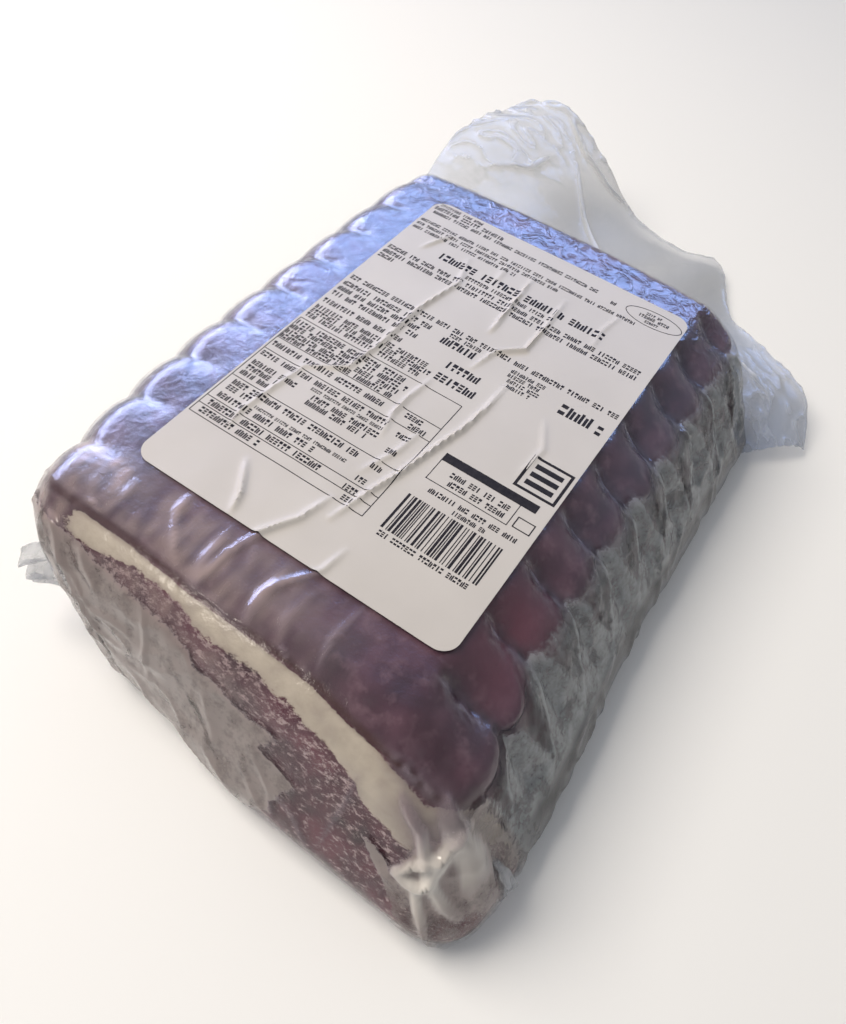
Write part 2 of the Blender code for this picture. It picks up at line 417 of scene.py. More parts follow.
def grainy(points, size, turn=0.0, stretch=(1.0, 1.0, 1.0)):
    """Smooth noise from -1 to 1 with features of this size in mm; turn picks another pattern."""
    scaled = np.asarray(points) / MM / size / np.array(stretch) + turn * PATTERN_STEP
    return np.array([noise.noise(Vector(p)) for p in scaled])


def ridged(points, size, turn, stretch=(1.0, 1.0, 1.0), power=4):
    """Noise that is 1 along branching ridges and falls to 0 between them; power narrows them."""
    return (1.0 - np.abs(grainy(points, size, turn, stretch))) ** power


# Where the top has turned into the cut end, and where the underside has left the floor, in mm
CUT_END_STARTS = (76.0, 84.0)
FLOOR_LEFT = (0.5, 4.0)
cut_end = smooth(-Y, *CUT_END_STARTS)
V = np.where(cut_end > 0, np.maximum(Y, CUT_EDGE_Y) - (TOP_Z - Z) * cut_end, Y)
off_floor = smooth(Z, *FLOOR_LEFT)
print("sheet runs from v", V.min().round(1), "to", V.max().round(1), "mm")

# %% [markdown]
# Next come the masks, read off the real pack in millimetres. Under the top edge of the cut end lies a cream
# band of fat. Below it, on the left, the film is loose and grey down to the floor, while dark meat shows
# through on the right. On the right side the film spans from the lobes' undersides to the floor, with small
# tents between the lobes. Each mask is a number from 0 to 1 at each point, with its edge made ragged by
# noise, because no edge on a real pack is smooth.

# %% Masks of fat and loose film
# Lines on the cut end as points (x, v)
CREAM_TOP = (
    (-60, -88), (-42, -88), (-21, -90), (5, -91), (18, -92), (28, -95), (38, -97), (46, -99), (54, -103))
CREAM_LOW = (
    (-60, -99), (-50, -98), (-41, -95), (-31, -94), (-20, -96), (-12, -99), (5, -99), (14, -100), (27, -103),
    (36, -105), (41, -110), (47, -112), (58, -116))
LOOSE_TOP = (
    (-70, -96), (-60, -98), (-50, -99), (-39, -100), (-28, -101), (-17, -102), (-12, -106), (-1, -108),
    (12, -109), (17, -110))
# Lines on the cut end as points (v, x): the loose film's right edge, and a loose strip right of it
LOOSE_RIGHT = ((-150, 12), (-137, 14), (-132, 20), (-126, 21), (-119, 24), (-116, 12), (-109, 17))
STRIP = ((-150, 66), (-132, 60), (-125, 54), (-119, 47), (-116, 44))
STRIP_HALF_WIDTH = 3.5
# Strength, half width in mm and points of the cream-coloured band of doubled film at the near right corner
KNOT_BAND = ((1.0, 6.0, ((46, -102), (55, -110), (62, -118), (69, -130), (77, -134))),)
# Middle and spread of the gathered star of creases at that corner, as (x, v)
STAR = ((61.0, -120.0), (8.0, 11.0))
# In mm: how far noise moves an edge each way, and the browned rim's place above the cream's top
RAGGED_X, RAGGED_V = 2.0, 1.4
RIM_RISE, RIM_HALF_WIDTH = 1.2, 1.6
# In mm: the width over which the hollow under loose film deepens, and the film's inward sag at its foot
GAP_WIDTH, FOOT_PULL = 20.0, 3.2
# In mm: how high the lobes' undersides are on the right side, and how much lower near the cut end
LOBE_FOOT_Z, NEAR_DIP = 45.0, 8.0
# The tents under the strings: their rise in mm, their peak's height, how fast they widen, and their edge
TENT_RISE, TENT_TOP_Z, TENT_SPREAD, TENT_EDGE_WIDTH = 4.0, 49.0, 0.34, 0.8
# Height in mm up to which the painted shade band at the right side's foot reaches
FOOT_SHADE_TOP_Z = 19.0


def at(value, pairs):
    """Reads a line of (place, value) pairs at these places."""
    return np.interp(value, *np.array(pairs, float).T)


def inside(distance, width, on_line=0.5):
    """Rises from 0 to 1 over this width in mm, and is on_line at the line itself."""
    return np.clip(on_line + distance / width, 0.0, 1.0)


def spot(first, second, middle, spread):
    """1 at a middle, with a soft round edge; spread is its reach each way."""
    return np.exp(-(((first - middle[0]) / spread[0]) ** 2 + ((second - middle[1]) / spread[1]) ** 2))


# From here on, bare numbers are places on the real pack in mm, and the share that each term has in a sum
ragged = grainy(skin, 5.0) + 0.5 * grainy(skin, 2.2, 1)
v_ragged, x_ragged = V + RAGGED_V * ragged, X + RAGGED_X * ragged
cream_top, cream_low = at(X, CREAM_TOP), at(X, CREAM_LOW)
on_cut = cut_end * smooth(x_ragged, -64.0, -56.0)
fat = on_cut * smooth(cream_top - V, -0.4, 1.4) * inside(v_ragged - cream_low, 4.0)
rim = cut_end * np.exp(-((V - cream_top - RIM_RISE) / RIM_HALF_WIDTH) ** 2) * smooth(-V, 70.0, 84.0)

below_top, left_of_edge = at(X, LOOSE_TOP), at(V, LOOSE_RIGHT)
loose_left = inside(below_top - v_ragged, 4.0) * inside(left_of_edge - x_ragged, 5.0)
in_strip = smooth(STRIP_HALF_WIDTH - np.abs(x_ragged - at(V, STRIP)), 0.0, 2.0) * smooth(-V, 116.0, 119.0)
star = spot(X, V, *STAR)
knot = cut_end * np.clip(crease_height(X, V, KNOT_BAND) + 0.35 * ragged, 0.0, 1.0)
corner = smooth(x_ragged, 61.0, 66.0) * smooth(-V, 93.0, 100.0)
loose_cut = cut_end * np.clip(loose_left + 0.8 * in_strip + 0.95 * star + corner, 0.0, 1.0)
gap_cut = cut_end * inside(below_top - V, GAP_WIDTH, 0.0) * inside(left_of_edge - X, GAP_WIDTH, 0.0)
touching = cut_end * np.clip(crease_height(X, V, TOUCH_LINES), 0.0, 1.0)
foot_pull = FOOT_PULL * cut_end * smooth(-X, -5.0, 30.0) * smooth(-V, 112.0, 135.0)

pitch = STRING_PITCH / MM
from_string = np.abs((Y - STRING_PHASE / MM) % pitch - pitch / 2)
tents = TENT_RISE * string_dent(Y * MM) ** 4 + 1.6 * grainy(skin, 9.0, 2)
lobe_foot = LOBE_FOOT_Z + tents - NEAR_DIP * smooth(-Y, 50.0, 78.0)
right_side = smooth(X, 50.0, 58.0) * (1.0 - cut_end * smooth(-V, 92.0, 100.0))
loose_side = right_side * inside(lobe_foot - Z, 4.0)
tent_half = 1.0 + TENT_SPREAD * np.clip(TENT_TOP_Z - Z, 0.0, 40.0) + 2.0 * grainy(skin, 12.0, 9)
tent_inside = smooth(tent_half - from_string, -1.0, 1.0)
tent_edge = loose_side * np.exp(-((tent_half - from_string) / TENT_EDGE_WIDTH) ** 2)
tent_edge *= smooth(Z, FOOT_SHADE_TOP_Z, FOOT_SHADE_TOP_Z + 8.0)
# Painted shade: a dark, milky band of film along the foot of the right side, fading out towards the cut end.
painted_foot_shade = right_side * smooth(FOOT_SHADE_TOP_Z - Z, -2.0, 3.0) * smooth(Y + 1.5 * ragged, -88.0, -68.0)
loose = np.clip(loose_cut + loose_side, 0.0, 1.0)
print("share of the film that is loose:", loose.mean().round(2))

# %% [markdown]
# The meat sits 0.3 mm inside the film, and further in where the film bridges a hollow. Its surface is lumpy
# at the scale of a muscle bundle, and the strings cut it a little deeper. The material reads seven numbers
# at each point: fat, the browned rim above it, frost on the cut, fresh red meat, the cut face, painted shade
# in the grooves under the strings, and how crackled the film on it is.

# %% The meat
# In mm: how far the meat lies below the film, how much further under bridged film, and its lumps
MEAT_INSET = 0.30
BRIDGED_INSET = 2.6
MUSCLE_LUMPS, FINE_LUMPS = 0.16, 0.06
MEAT_STRING_DEPTH = 1.08 * STRING_DEPTH
FROST_REACH = 14.0
# Middle and spread in mm of the redder meat on the near right lobes, as (x, y)
FRESH_MEAT = ((50.0, -48.0), (10.0, 20.0))
BLOCK_MIDDLE_X = -8.0

beef = even_box("beef")
move_points(beef.data, pressed(box_points, MEAT_STRING_DEPTH))
meat_skin, meat_out = places(beef.data), places(beef.data, "normal")
bridged = np.clip(loose_side + 0.8 * gap_cut, 0.0, 1.0)
lumps = MUSCLE_LUMPS * (1.0 + grainy(skin, 11.0, 3)) + FINE_LUMPS * (1.0 + grainy(skin, 3.0, 4))
inset = MEAT_INSET + BRIDGED_INSET * bridged + lumps * off_floor + foot_pull
move_points(beef.data, meat_skin - meat_out * inset[:, None] * MM)

from_middle = np.abs(X - BLOCK_MIDDLE_X)
bare_cut = on_cut * smooth(cream_top - V, -0.5, 0.5)
under_cream = np.clip(cream_low - v_ragged, 0.0, 60.0)
frost = bare_cut * (1.0 - 0.3 * loose_cut) * np.exp(-under_cream / FROST_REACH)
fresh = 0.75 * spot(X, Y, *FRESH_MEAT) * smooth(Z, 25.0, 45.0)
at_sides = smooth(from_middle, 46.0, 62.0) * smooth(Z, 22.0, 40.0) * (1.0 - cut_end)
# Painted shade: the meat is darkened in the grooves under the strings on both sides.
groove = at_sides * smooth(string_dent(Y * MM), 0.45, 0.95)
crackle = 0.08 + 0.06 * smooth(-X, 50.0, 64.0) + smooth(Y, 70.0, 88.0)
crackle = np.clip(crackle, 0.0, 1.0) * (1.0 - 0.8 * cut_end)
note(beef.data, fat=fat, rim=rim, frost=frost, fresh=fresh, cut=bare_cut, groove=groove, crackle=crackle)
note(film.data, crackle=crackle)

# %% [markdown]
# Air-dried beef is lean meat, salted and pressed: a dark purple skin, dark red inside, and hard cream fat.
# Under tight film it looks wet, so the shader carries a clear coat of refractive index 1.5, as film has,
# with small waves in it. Muscle fibres are about a millimetre thick, and on the cut face they show as pale
# flecks where frost or dried salt sits on them, so the finest noise has that size.


# %% Meat material
def per(size):
    """A noise texture's scale for features of this size in mm."""
    return 1.0 / (size * MM)


def new_material(name):
    """An empty material, its node tree, and the object's own coordinates for patterns to lie in."""
    made = bpy.data.materials.new(name)
    made.use_nodes = True
    tree = made.node_tree
    tree.nodes.clear()
    return made, tree, add(tree, "ShaderNodeTexCoord").outputs["Object"]


def cloudy(tree, place, size, detail, roughness=0.5):
    """A noise texture with features of this size in mm, as a socket."""
    return add(tree, "ShaderNodeTexNoise", {
        "Vector": place, "Scale": per(size), "Detail": detail, "Roughness": roughness}).outputs["Fac"]


def attribute(tree, name):
    return add(tree, "ShaderNodeAttribute", attribute_name=name).outputs["Fac"]


def mix(tree, share, first, second):
    """A colour between two others; each is a socket or an '#rrggbb' colour."""
    first, second = [linear(c) if isinstance(c, str) else c for c in (first, second)]
    return add(tree, "ShaderNodeMix", {0: share, 6: first, 7: second}, data_type="RGBA").outputs[2]


def sums(tree, operation, first, second, third=0.0):
    """The result of one step of arithmetic, as a socket."""
    return add(tree, "ShaderNodeMath", {0: first, 1: second, 2: third}, operation=operation).outputs[0]


def film_waves(tree, place, soft, crackle):
    """The relief of shrunk film: branching ridges where it is crackled, and soft waves elsewhere."""
    ridges = add(tree, "ShaderNodeTexNoise", {
        "Vector": place, "Scale": per(5.0), "Detail": 3.0, "Roughness": 0.6, "Offset": 0.9, "Gain": 1.6,
        "Distortion": 0.5}, noise_type="RIDGED_MULTIFRACTAL", normalize=True)
    return sums(tree, "MULTIPLY_ADD", ridges.outputs["Fac"], crackle, soft)


def sharpen(tree, value, low, high, top=1.0):
    """Stretches a soft value: 0 at low, top at high."""
    return add(tree, "ShaderNodeMapRange", {
        "Value": value, "From Min": low, "From Max": high, "To Max": top}).outputs[0]


beef_skin, tree, place = new_material("pressed_air_dried_beef")
patches, mottle = cloudy(tree, place, 15.0, 2.0, 0.6), cloudy(tree, place, 5.5, 4.0, 0.62)
lean_tones = add(tree, "ShaderNodeValToRGB", {0: patches},
                 stops=((0.34, "#2a121e"), (0.50, "#3e202e"), (0.64, "#553643")))
lean = mix(tree, sharpen(tree, mottle, 0.52, 0.74, 0.55), lean_tones.outputs[0], "#7d616b")
lean = mix(tree, attribute(tree, "fresh"), lean, "#6c2c3b")
# Painted shade in the string grooves.
lean = mix(tree, attribute(tree, "groove"), lean, "#21131c")
along_fibres = add(tree, "ShaderNodeMapping", {
    "Vector": place, "Scale": (0.6, 1.0, 1.0), "Rotation": (0.0, 0.5, 0.0)})
grain = cloudy(tree, along_fibres.outputs[0], 1.3, 5.0, 0.8)
cut_tones = add(tree, "ShaderNodeValToRGB", {0: patches},
                stops=((0.36, "#2a0c16"), (0.50, "#461727"), (0.62, "#5c2a38")))
frosted = sums(tree, "MULTIPLY_ADD", attribute(tree, "frost"), 0.075, grain)
cut_face = mix(tree, sharpen(tree, frosted, 0.56, 0.66, 0.85), cut_tones.outputs[0], "#bba6a5")
lean = mix(tree, attribute(tree, "cut"), lean, cut_face)
cream = mix(tree, mottle, "#cbc0b0", "#9c9184")
fat_edge = sums(tree, "MULTIPLY_ADD", sums(tree, "SUBTRACT", grain, 0.5), 1.1, attribute(tree, "fat"))
lean = mix(tree, sharpen(tree, fat_edge, 0.42, 0.58), lean, cream)
lean = mix(tree, attribute(tree, "rim"), lean, "#3e201b")
waves = film_waves(tree, place, mottle, attribute(tree, "crackle"))
bump = add(tree, "ShaderNodeBump", {"Height": waves, "Strength": 0.6, "Distance": 0.5 * MM})
meat_shader = add(tree, "ShaderNodeBsdfPrincipled", {
    "Base Color": lean, "Roughness": 0.5, "Specular IOR Level": 0.1, "Coat Weight": 1.0,
    "Coat Roughness": 0.2, "Coat IOR": 1.5, "Normal": bump.outputs[0], "Coat Normal": bump.outputs[0]})
add(tree, "ShaderNodeOutputMaterial", {"Surface": meat_shader.outputs[0]})
beef.data.materials.append(beef_skin)
beef.data.shade_smooth()

# %% [markdown]
# The bag is shrunk onto the block, so its mesh is the block's own outer form plus what a film adds: pinched
# creases, fine ridges all over, and larger slack folds where it has let go. Under the label only the shared
# creases stand out, and nothing reaches below the floor. How much the film hides is kept at each point too:
# how milky it is where it is loose, and what each crease, painted sheen or doubled fold adds.

# %% The film's form
LABEL_MIDDLE = np.array((-10.0, 9.0))
LABEL_HALF = np.array((50.0, 75.0))
# The film's creases against the shared lines; then in mm, a fully white crease, the folds, and the hollow
FILM_CREASE_SHARE = 1.2
FULL_RIDGE = 0.6
FINE_RIDGES, SLACK_FOLDS, TENT_RIDGES, LIP = 0.12, 0.75, 0.6, 0.45
SLACK_HOLLOW = 0.6

sheet_side = np.maximum(smooth(skin_out[:, 2], 0.2, 0.6), cut_end)
lift = FILM_CREASE_SHARE * crease_height(X, V, LABEL_CREASES + FILM_CREASES) * sheet_side
ridge = np.clip(lift / FULL_RIDGE, 0.0, 1.0)
past_label = np.max(np.abs(np.stack((X, Y), 1) - LABEL_MIDDLE) - LABEL_HALF, axis=1)
clear_of_label = np.where(Z > 50.0, smooth(past_label, -0.5, 2.0), 1.0)
fine = ridged(skin, 4.5, 5, (1.0, 1.8, 1.0))
slack = ridged(skin, 10.0, 6, (1.6, 1.0, 1.0), power=5)
lip = LIP * cut_end * np.exp(-((V - cream_top - 2.6) / 1.5) ** 2)
folds = FINE_RIDGES * fine + SLACK_FOLDS * slack * loose + TENT_RIDGES * tent_edge
folds -= SLACK_HOLLOW * np.maximum(loose_side, gap_cut) + foot_pull
lift += clear_of_label * folds + lip
lift *= off_floor
stretched = skin + skin_out * lift[:, None] * MM
stretched[:, 2] = np.maximum(stretched[:, 2], 0.0)
move_points(film.data, stretched)

# %% What the film hides
# Middles and spreads in mm: a dark patch as (y, z) and a paler pinkish patch at the left corner as (x, v)
DARK_PATCH = ((-88.0, 38.0), (8.0, 10.0))
LEFT_CORNER = ((-67.0, -90.0), (8.0, 9.0))

drapes = ridged(skin, 9.0, 31, (0.5, 1.0, 3.0), power=5)
openings = smooth(grainy(skin, 8.0, 32), 0.25, 0.5)
brushed = grainy(skin, 7.0, 30, (0.5, 1.0, 1.6)) + 0.5 * grainy(skin, 2.4, 35, (0.7, 1.0, 1.4))
milk_cut = 0.72 + 0.32 * brushed + 0.20 * drapes - 0.14 * openings - 0.35 * corner - 0.75 * touching
milk_cut -= 0.45 * smooth(X, 40.0, 60.0) * smooth(-V, 118.0, 130.0)
patchy = 0.30 * grainy(skin, 6.0, 33, (1.0, 0.7, 2.0)) + 0.16 * grainy(skin, 2.4, 36)
milk_side = 0.26 + 0.34 * tent_inside + patchy - 0.2 * openings + 0.42 * painted_foot_shade
milk_side -= 0.5 * spot(Y, Z, *DARK_PATCH)
milk = milk_side + (milk_cut - milk_side) * smooth(cut_end - right_side + 0.3 * ragged, -0.6, 0.6)

# Painted sheen: pale flecks on the far edge of each lobe, where it catches light from the sky
tight = 1.0 - loose
beside_string = string_dent((Y + 2.5) * MM) ** 2 * smooth(from_middle, 44.0, 54.0) * smooth(Z, 40.0, 50.0)
flecked = inside(1.6 * grainy(skin, 2.6, 37, (1.0, 0.6, 1.0)), 1.0)
painted_lobe_sheen = tight * np.clip(beside_string * flecked, 0.0, 1.0)
# Painted sky reflection: a lavender sheen laid into the film's colour and milk on the right side, stronger
# towards the far end, and on the left bulges.
painted_right_sheen = smooth(X, 34.0, 48.0) * (1.0 - cut_end) * tight * (0.4 + 0.6 * smooth(Y, -50.0, 40.0))
painted_left_sheen = smooth(-X, 44.0, 58.0) * (1.0 - cut_end) * smooth(Z, 22.0, 40.0)
speckle = np.clip(0.7 + 0.9 * grainy(skin, 2.4, 38) + 0.5 * grainy(skin, 9.0, 39), 0.0, 1.5)
# Painted highlight: near-white glints on the hard creases of the gathered knot.
glint = np.clip(star * ridge ** 3, 0.0, 1.0)
blush = tight * (1.0 - fat) * (1.0 - rim) * smooth(-X, -40.0, 20.0) * smooth(-V, 62.0, 72.0)
blush *= np.clip(0.80 + 0.8 * grainy(skin, 5.0, 34, (0.6, 1.6, 1.0)), 0.0, 1.0)
left_corner = spot(X, V, *LEFT_CORNER) * (0.6 + 0.8 * brushed)
blush = np.clip(np.maximum(blush, np.maximum(0.4 * knot, left_corner)), 0.0, 1.0)
streak = (0.42 + 0.40 * star) * ridge + 0.55 * painted_lobe_sheen + 0.46 * blush + 0.40 * tent_edge + 0.12 * painted_right_sheen
streak += 0.22 * painted_left_sheen * speckle + 0.20 * knot + 0.28 * glint + 0.45 * painted_lobe_sheen * smooth(X, 20.0, 40.0)
streak -= 0.05 * bare_cut * tight
note(film.data, loose=loose, milk=milk, streak=streak, band=painted_foot_shade, blush=blush, side=loose_side,
     cool=np.maximum(painted_right_sheen, painted_left_sheen), glint=glint, wrinkle=painted_left_sheen)
print("creases and veils hide up to", streak.max().round(2), "more")

# %% [markdown]
# Vacuum film is nylon and polyethylene pressed together: clear and glossy, and milky where it is creased,
# doubled or free of the meat. The shader therefore mixes a see-through part with a milky glossy one. Tight
# film keeps a thin veil, which gives the cold sheen of a sealed pack. Washes tint the milk: grey on the slack
# right side, a painted lavender sky reflection on the sides, pinkish on the cut end's corner, painted shade
# along the foot, and a painted near-white highlight on the hard creases of the corner knot.


# %% Film material
SMOOTH_FILM_GRAIN = 0.3


def film_material(name, hiding, tones, washes, relief, coat, gloss):
    """Clear film. Tones are its milk tight and slack; washes are attributes and the tones they add.

    hiding(tree, grain) returns how much the film hides, and how slack it is, as sockets. Relief is the
    bump's strength, coat the weight of the clear coat, and gloss the coat's roughness.
    """
    made, tree, place = new_material(name)
    grain = cloudy(tree, place, 1.5, 3.0, 0.7)
    hides, slackness = hiding(tree, grain)
    tone = mix(tree, slackness, *tones)
    for wash, wash_tone in washes:
        tone = mix(tree, attribute(tree, wash), tone, wash_tone)
    wrinkled = sums(tree, "ADD", attribute(tree, "wrinkle"), SMOOTH_FILM_GRAIN)
    soft = sums(tree, "MULTIPLY", grain, wrinkled)
    waves = film_waves(tree, place, soft, attribute(tree, "crackle"))
    bump = add(tree, "ShaderNodeBump", {"Height": waves, "Strength": relief, "Distance": 0.4 * MM})
    milk = add(tree, "ShaderNodeBsdfPrincipled", {
        "Base Color": tone, "Roughness": 0.45, "Specular IOR Level": 0.15, "Coat Weight": coat,
        "Coat Roughness": gloss, "Coat IOR": 1.5, "Normal": bump.outputs[0], "Coat Normal": bump.outputs[0]})
    clear = add(tree, "ShaderNodeBsdfTransparent")
    both = add(tree, "ShaderNodeMixShader", {0: hides, 1: clear.outputs[0], 2: milk.outputs[0]})
    add(tree, "ShaderNodeOutputMaterial", {"Surface": both.outputs[0]})
    return made


# %% The shrunk film
TIGHT_VEIL = 0.09
SPECKLE = 0.9
LEAST_HIDDEN, MOST_HIDDEN = 0.04, 0.95


def shrunk_hiding(tree, grain):
    """Slack film is milky with a speckled edge; creases add to that everywhere."""
    speckle = sums(tree, "SUBTRACT", grain, 0.5)
    edge = sums(tree, "MULTIPLY_ADD", speckle, SPECKLE, attribute(tree, "loose"))
    slackness = sharpen(tree, edge, 0.38, 0.62)
    milk = sums(tree, "MULTIPLY_ADD", speckle, SPECKLE, attribute(tree, "milk"))
    hides = sums(tree, "MULTIPLY_ADD", slackness, milk, TIGHT_VEIL)
    hides = sums(tree, "ADD", hides, attribute(tree, "streak"))
    kept = add(tree, "ShaderNodeClamp", {"Value": hides, "Min": LEAST_HIDDEN, "Max": MOST_HIDDEN})
    return kept.outputs[0], slackness


# Three washes are painted light: the lavender one is a painted sky reflection, the dark one a painted shade
# along the foot, and the near-white one a painted highlight on the knot's creases.
shrunk_washes = (
    ("side", "#858a8d"), ("cool", "#8388a2"), ("blush", "#a08d8b"), ("band", "#161c26"),
    ("glint", "#ded8d0"))
shrunk_film = film_material("shrunk_vacuum_film", shrunk_hiding, ("#867781", "#857a77"), shrunk_washes,
                            relief=0.35, coat=1.0, gloss=0.13)
film.data.materials.append(shrunk_film)
film.data.shade_smooth()

# %% [markdown]
# At the far end the bag runs on past the block as a flat, sealed tube that has sagged over the edge. It is
# one sheet between two lines: where it leaves the block, and its free edge. The same two smooth curves as in
# the solid carry it, with finer waves, and a crumpled corner at the upper left where the seam was gripped.

# %% Spare film at the far end
# The spare film's line on the block and its free edge, in metres, from the left to the right
TAIL_ROOT = ((-0.076, 0.090, 0.043), (-0.030, 0.096, 0.039), (0.020, 0.096, 0.024), (0.064, 0.082, 0.006))
TAIL_EDGE = (
    (-0.083, 0.196, 0.039), (-0.064, 0.200, 0.041), (-0.042, 0.200, 0.028), (-0.018, 0.198, 0.009),
    (0.008, 0.198, 0.003), (0.027, 0.200, 0.004), (0.044, 0.170, 0.003), (0.066, 0.150, 0.009),
    (0.086, 0.134, 0.010), (0.096, 0.115, 0.002))
TAIL_GRID = (170, 110)
TAIL_ARCH = 0.012
TAIL_SIDE_BULGE = 0.006
TAIL_WAVES = ((0.0030, 11.0, 2.0), (0.0018, -9.0, 5.0))
# Height and half width in mm, then points on the sheet: across it from the left, and out from the block
TAIL_CREASES = (
    (1.5, 1.3, ((22, 96), (34, 88), (44, 90), (50, 98))),
    (1.1, 1.2, ((30, 84), (50, 60), (66, 44), (80, 38))),
    (1.6, 1.5, ((44, 12), (50, 24), (58, 30))),
    (0.9, 1, ((20, 30), (30, 48), (30, 70))),
    (1, 1.2, ((84, 8), (88, 18))),
    (1.5, 1.2, ((108, 10), (112, 40), (128, 66), (140, 70))),
    (1.2, 1.2, ((120, 20), (132, 34), (150, 40))),
)
FILM_THICKNESS = 0.28 * MM
TAIL_WIDTH, TAIL_REACH = 160 * MM, 100 * MM
SOFT_FOLDS, SHARP_FOLDS, TAIL_CREASE_SHARE = 0.5, 2.0, 1.8


def along_curve(points, shares):
    """The places at these shares, from 0 to 1, of a smooth curve through the points."""
    points = np.array(points)
    last = len(points) - 1
    place = np.clip(shares, 0.0, 1.0) * last
    k = np.minimum(place.astype(int), last - 1)
    u = (place - k)[:, None]
    before, start, end, after = (points[np.clip(k + j, 0, last)] for j in (-1, 0, 1, 2))
    bend = 2.0 * before - 5.0 * start + 4.0 * end - after
    twist = 3.0 * start - before - 3.0 * end + after
    return 0.5 * (2.0 * start + (end - before) * u + bend * u ** 2 + twist * u ** 3)


grid_tree, grid_in, grid_out = start_tree("even_grid", Across=2, Out=2)
grid_sheet = add(grid_tree, "GeometryNodeMeshGrid", {
    "Size X": 1.0, "Size Y": 1.0, "Vertices X": grid_in.outputs["Across"],
    "Vertices Y": grid_in.outputs["Out"]})
grid_tree.links.new(grid_sheet.outputs["Mesh"], grid_out.inputs["Geometry"])


def film_sheet(name, rule, steps, finish):
    """A thin closed sheet laid by rule(across, out), which returns the places and numbers to note."""
    sheet = grow(name, grid_tree, Across=steps[0], Out=steps[1])
    across, out = places(sheet.data)[:, :2].T + 0.5
    spots, notes = rule(across, out)
    move_points(sheet.data, spots)
    note(sheet.data, **notes)
    wall = sheet.modifiers.new("Thickness", "SOLIDIFY")
    wall.thickness = FILM_THICKNESS
    wall.offset = 0.0
    keep_plain(sheet)
    sheet.data.materials.clear()
    sheet.data.materials.append(finish)
    sheet.data.shade_smooth()
    return sheet


def spare_film(across, out):
    root, edge = along_curve(TAIL_ROOT, across), along_curve(TAIL_EDGE, across)
    spots = root + (edge - root) * out[:, None]
    free = np.sin(np.pi * out)
    for height, turn_across, turn_out in TAIL_WAVES:
        spots[:, 2] += height * free * np.sin(turn_across * across + turn_out * out)
    spots[:, 2] += TAIL_ARCH * out * (1.0 - out)
    spots[:, 0] -= TAIL_SIDE_BULGE * free * (1.0 - across) ** 4
    flat = np.stack((across * TAIL_WIDTH, out * TAIL_REACH, 0.0 * out), 1)
    gripped_corner = smooth(1.0 - across, 0.70, 1.0) * smooth(out, 0.15, 0.6)
    crumple = np.maximum(gripped_corner + 0.5 * smooth(out, 0.94, 1.0), 0.6 * smooth(across, 0.66, 0.84))
    folds = ridged(flat, 34.0, 7, (1.0, 1.7, 1.0))
    pinches = ridged(flat, 7.0, 8)
    reach = smooth(out, 0.02, 0.2)
    lines = crease_height(flat[:, 0] / MM, flat[:, 1] / MM, TAIL_CREASES)
    rise = SOFT_FOLDS * folds + SHARP_FOLDS * crumple * pinches + TAIL_CREASE_SHARE * lines
    spots[:, 2] += reach * rise * MM
    spots[:, 2] = np.maximum(spots[:, 2], FILM_THICKNESS)
    # Crease lines and crumples whiten as stressed film does; the near-white there also stands in for painted
    # glints.
    whitening_and_glints = np.clip(0.5 * lines ** 2 + 0.5 * crumple * pinches ** 3, 0.0, 1.0)
    shaded = np.clip(crumple * folds, 0.0, 1.0)
    # The bluish tone towards the sheet's right side is a painted reflection of the sky.
    return spots, {"streak": whitening_and_glints, "blue": smooth(across, 0.55, 0.85), "dark": shaded}


SPARE_VEIL = 0.30


def spare_hiding(tree, grain):
    """Two layers of loose film hide about a third of what is behind, and more where they are creased."""
    hides = sums(tree, "MULTIPLY_ADD", attribute(tree, "streak"), 0.6, SPARE_VEIL)
    return sums(tree, "MULTIPLY_ADD", grain, 0.08, hides), grain


loose_film = film_material(
    "loose_bag_film", spare_hiding, ("#acaeb1", "#bfc2c6"),
    (("blue", "#9dadcb"), ("dark", "#7d8085"), ("streak", "#f4f6fa")), relief=0.02, coat=0.22, gloss=0.07)
tail = film_sheet("spare_film", spare_film, TAIL_GRID, loose_film)

# %% [markdown]
# The bag's end seam leaves two crumpled ears at the corners of the cut end. Each is a short sheet that
# stands out from its corner, folded like a fan.

# %% Ears of the end seam
# Root, tip and height of each ear, in metres
EARS = {
    "left_ear": ((-0.056, -0.086, 0.026), (-0.078, -0.098, 0.021), 0.028),
    "right_ear": ((0.062, -0.084, 0.015), (0.080, -0.090, 0.013), 0.020),
}
EAR_GRID = (60, 44)
EAR_HEIGHT, EAR_REACH = 30 * MM, 24 * MM
EAR_FOLD = 0.002
EAR_CRUMPLE = 0.001
EAR_FOLD_TURN = 14.0
EAR_TAPER = 0.45


def ear_rule(root, tip, height, pattern):
    """The rule of a folded fan between root and tip; pattern picks its crumples."""
    root, tip = np.array(root), np.array(tip)
    side = np.cross(tip - root, (0.0, 0.0, 1.0))
    side /= np.linalg.norm(side)

    def rule(up, out):
        flat = np.stack((up * EAR_HEIGHT, out * EAR_REACH, 0.0 * out), 1)
        crumple = grainy(flat, 5.0, pattern) + 0.5 * grainy(flat, 2.4, pattern + 1)
        sway = EAR_FOLD * out * np.sin(EAR_FOLD_TURN * up) + EAR_CRUMPLE * out * crumple
        reach = out * (1.0 - 0.12 * np.abs(grainy(flat, 7.0, pattern + 2)))
        spots = root + (tip - root) * reach[:, None] + side * sway[:, None]
        spots[:, 2] += height * (up - 0.5) * (1.0 - EAR_TAPER * out * out)
        return spots, {"streak": 0.35 * np.abs(crumple)}

    return rule


ears = []
for k, (name, shape) in enumerate(EARS.items()):
    ears.append(film_sheet(name, ear_rule(*shape, 11 + 3 * k), EAR_GRID, loose_film))

